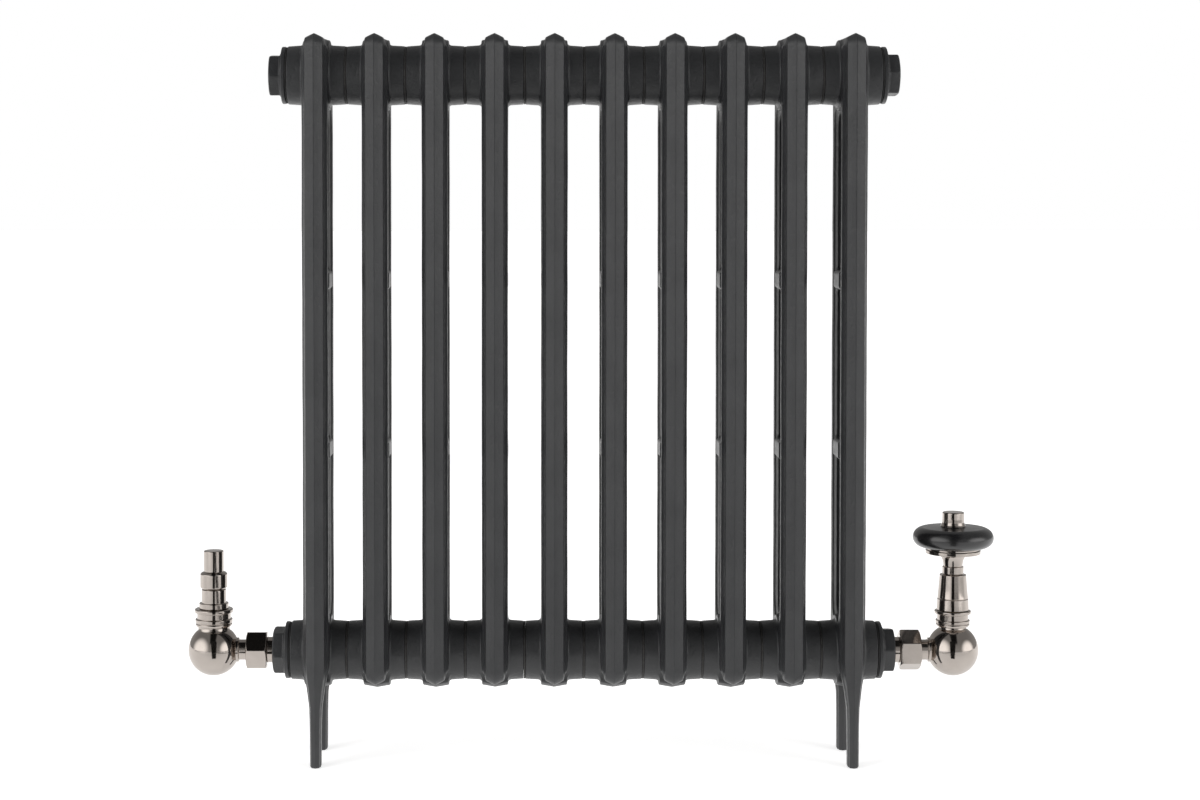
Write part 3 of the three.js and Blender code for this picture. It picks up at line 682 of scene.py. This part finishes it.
STEM_SHAPE = turned([(7, 71.4), (7, 78.1, 0.2), (10.8, 78.1, 0.7), (10.8, 85.5, 0.8), (9.8, 86.2, 0.3),
                     (10.0, 89.0, 0), (10.7, 92.0, 0), (11.9, 94.8, 0), (13.4, 96.9, 0), (15.2, 98.5, 0.5),
                     (27.9, 98.9, 0.7), (27.9, 102.6, 0.7), (26.3, 102.9, 0.3), (26.3, 104.5, 0.3),
                     (5, 104.5)])
piece("trv_stem", moved(STEM_SHAPE, TRV_CENTRE), "nickel", "trv_head", "trv_head_stem")

RIM = [(RIM_RADIUS + RIM_WIDENING * r, RIM_HEIGHT + z, 0) for r, z, _ in arc(RIM_HALF_HEIGHT, -90, 82)]
WHEEL_SHAPE = turned([(5.3, 105.0)] + RIM + [(29.4, 125.5, 0.3), (14, 126.3, 0.3), (5.3, 126.5)])
piece("trv_hand_wheel", moved(WHEEL_SHAPE, TRV_CENTRE), "black", "trv_head", "trv_wheel")
CAP_SHAPE = turned([(0, 126.9), (13.0, 126.9, 0.3), (12.1, 128.2, 0.9), (11.3, 130.6, 1.5),
                    (11.1, 134, 0.5), (11.1, 141.3, 1.3), (0, 141.35)])
piece("trv_top_cap", moved(CAP_SHAPE, TRV_CENTRE), "nickel", "trv_head", "trv_wheel_cap")

# Lockshield valve: rings, headwork and the cap that pulls off
SHIELD_CENTRE = valve_body("lockshield", *SIDES["left"], SHIELD_X, SHIELD_NUT_CORNER, [
    (16.2, 24.4, 0.5), (18.0, 24.6, 0.8), (18.9, 26.8, 0.8), (18.3, 27.9, 0.3), (19.0, 28.8, 0.6),
    (19.0, 32.2, 1.1), (17.2, 32.5, 0.4), (17.2, 38.2, 0.5), (19.6, 38.3, 1.5), (19.6, 42.6, 1.5),
    (12, 42.6)])
HEADWORK_SHAPE = turned([(9, 30), (11.6, 30), (11.6, 43.0, 0.1), (15.0, 43.0, 0.5), (15.0, 48.5, 0.8),
                         (12.5, 48.5, 0.4), (12.5, 62.1, 0.4), (9, 62.1, 0.2), (9, 70)])
piece("lockshield_neck", moved(HEADWORK_SHAPE, SHIELD_CENTRE), "nickel", "radiator", "lockshield_headwork")
COVER_SHAPE = turned([(9.3, 62.6), (12.0, 62.6, 0.5), (13.9, 64.4, 1.8), (13.9, 78.0, 1.3),
                      (12.4, 79.6, 1.0), (10.15, 80.6, 0.4), (10.15, 101.8, 1.0), (0, 101.85)])
piece("lockshield_cover_cap", moved(COVER_SHAPE, SHIELD_CENTRE), "nickel", "lockshield_cover",
      "lockshield_cap")


# ------------------------------------------------------------------ floor, light and camera
def floor():
    """Pale floor with painted light: its emission glows brighter from the front to the back, as a lit studio
    sweep does.
    """
    material, nodes, where, shader = new_material("pale_floor")
    soft = nodes.noise(where, 3, 2)
    depth = nodes.add("ShaderNodeSeparateXYZ", {0: where}).outputs["Y"]
    # painted light: the floor's own glow, dim in front and bright behind
    glow = nodes.add("ShaderNodeMapRange", {
        "Value": depth, "From Min": -0.6, "From Max": 0.4, "To Min": 0.25, "To Max": 0.84},
        interpolation_type="SMOOTHSTEP").outputs["Result"]
    connect(nodes, shader, Roughness=0.6, Emission_Color=(1, 1, 1, 1), Emission_Strength=glow,
            Base_Color=nodes.mix(nodes.between(soft, 0, 1), (0.80, 0.80, 0.80), (0.82, 0.82, 0.82)))
    half = 40
    corners = [(-half, -half, 0), (half, -half, 0), (half, half, 0), (-half, half, 0)]
    made = new_object("floor", corners, [(0, 1, 2, 3)], [material])


def softbox(name, place, target, width, height, power):
    """A lamp that lights the object but isn't mirrored in it: the sky carries the reflections."""
    light = bpy.data.lights.new(name, "AREA")
    light.shape = "RECTANGLE"
    light.size, light.size_y, light.energy = width, height, power
    lamp = bpy.data.objects.new(name, light)
    bpy.context.scene.collection.objects.link(lamp)
    lamp.location = place
    lamp.rotation_euler = (Vector(target) - Vector(place)).to_track_quat("-Z", "Y").to_euler()
    lamp.visible_glossy = False


def heading(azimuth, elevation):
    """Direction by degrees to the right of the front and degrees above the floor."""
    a, e = math.radians(azimuth), math.radians(elevation)
    return math.sin(a) * math.cos(e), -math.cos(a) * math.cos(e), math.sin(e)


GLOWS = (  # azimuth, elevation, angle where it fades out, angle where it is full, brightness
    (-60, 8, 46, 14, 1.45),
    (64, 6, 36, 12, 1.6),
)
HORIZON = 0.40  # brightness of the tent near the floor, and overhead
ZENITH = 0.26


def sky():
    """White to the camera. To everything else a grey tent with a bright diffuser on each side and
    a dark strip overhead that carries on from the dark card."""
    world = bpy.data.worlds.new("studio")
    world.use_nodes = True
    nodes = Nodes(world.node_tree)
    way = nodes.add("ShaderNodeTexCoord").outputs["Generated"]

    def fade(value, start, end, low, high):
        return nodes.add("ShaderNodeMapRange", {
            "Value": value, "From Min": start, "From Max": end, "To Min": low, "To Max": high},
            interpolation_type="SMOOTHSTEP").outputs["Result"]

    def calculate(operation, *values):
        return nodes.add("ShaderNodeMath", dict(enumerate(values)), operation=operation).outputs[0]

    level = None
    for azimuth, elevation, outer, inner, brightness in GLOWS:
        facing = nodes.add("ShaderNodeVectorMath", {0: way, 1: heading(azimuth, elevation)},
                           operation="DOT_PRODUCT").outputs["Value"]
        glow = fade(facing, math.cos(math.radians(outer)), math.cos(math.radians(inner)), 0, brightness)
        level = glow if level is None else calculate("ADD", glow, level)
    parts = nodes.add("ShaderNodeSeparateXYZ", {0: way}).outputs
    level = calculate("ADD", level, fade(parts["Z"], 0.05, 0.75, HORIZON, ZENITH))
    beside = fade(calculate("ABSOLUTE", parts["X"]), 0.16, 0.27, 0.04, 1)
    low = fade(parts["Z"], 0.45, 0.70, 1, 0)
    behind = fade(parts["Y"], 0.05, 0.30, 0, 1)
    slit = calculate("MAXIMUM", calculate("MAXIMUM", beside, behind), low)
    level = calculate("MULTIPLY", level, slit)

    seen = nodes.add("ShaderNodeLightPath").outputs["Is Camera Ray"]
    room = nodes.add("ShaderNodeBackground", {"Color": (1, 0.99, 0.98, 1), "Strength": level})
    white = nodes.add("ShaderNodeBackground", {"Color": (1, 1, 1, 1), "Strength": 1.0})
    both = nodes.add("ShaderNodeMixShader", {
        0: seen, 1: room.outputs["Background"], 2: white.outputs["Background"]})
    nodes.add("ShaderNodeOutputWorld", {"Surface": both.outputs["Shader"]})
    bpy.context.scene.world = world


def dark_card():
    """Painted dark reflection of the gap that the camera stands in: a card that widens upwards, and on the
    floor a path towards each valve. It only shows in reflections."""
    material, nodes, where, shader = new_material("dark_card")
    dark_reflection_tone = nodes.noise(where, 40, 2)
    connect(nodes, shader, Roughness=0.9,
            Base_Color=nodes.mix(dark_reflection_tone, (0.004, 0.004, 0.004), (0.008, 0.007, 0.006)))
    x, y, top, lift = CAMERA_PLACE[0], -2.75, 3.2, 0.001
    half_low, half_high, half_near = 0.50, 0.85, 0.03
    corners = [(x - half_low, y, 0), (x + half_low, y, 0), (x + half_high, y, top), (x - half_high, y, top)]
    quads = [(0, 1, 2, 3)]
    for valve_x in (TRV_X * MM, SHIELD_X * MM):
        near = -0.2  # where the path ends, in front of the valve
        across = valve_x + (x - valve_x) * near / y
        quads.append(tuple(range(len(corners), len(corners) + 4)))
        corners += [(x - half_low, y, lift), (x + half_low, y, lift),
                    (across + half_near, near, lift), (across - half_near, near, lift)]
        lift *= 2  # keeps the two paths apart where they cross
    card = new_object("dark_card", np.array(corners), quads, [material])
    # painted reflection only: the card is hidden from the camera, from diffuse light and from shadows
    card.visible_camera = card.visible_diffuse = card.visible_shadow = False


CAMERA_PLACE = (-0.0724, -2.370, 0.570)
CAMERA_TILT = 1.97  # degrees below level
CAMERA_LENS = 70.03
CAMERA_SHIFT = (0.067, -0.0998)
AIM = (0, 0, 0.40)  # of the lamps

floor()
dark_card()
sky()
softbox("left_softbox", (-2.0, -1.7, 1.0), AIM, 1.2, 1.8, 28)
softbox("right_softbox", (2.1, -1.6, 0.9), AIM, 1.0, 1.6, 20)
softbox("top_softbox", (0, -0.6, 2.6), AIM, 2.4, 1.2, 14)

camera_data = bpy.data.cameras.new("camera")
camera_data.lens = CAMERA_LENS
camera_data.shift_x, camera_data.shift_y = CAMERA_SHIFT
camera = bpy.data.objects.new("camera", camera_data)
camera.location = CAMERA_PLACE
camera.rotation_euler = (math.radians(90 - CAMERA_TILT), 0, 0)
bpy.context.scene.collection.objects.link(camera)
bpy.context.scene.camera = camera
bpy.context.scene.view_settings.view_transform = "Standard"
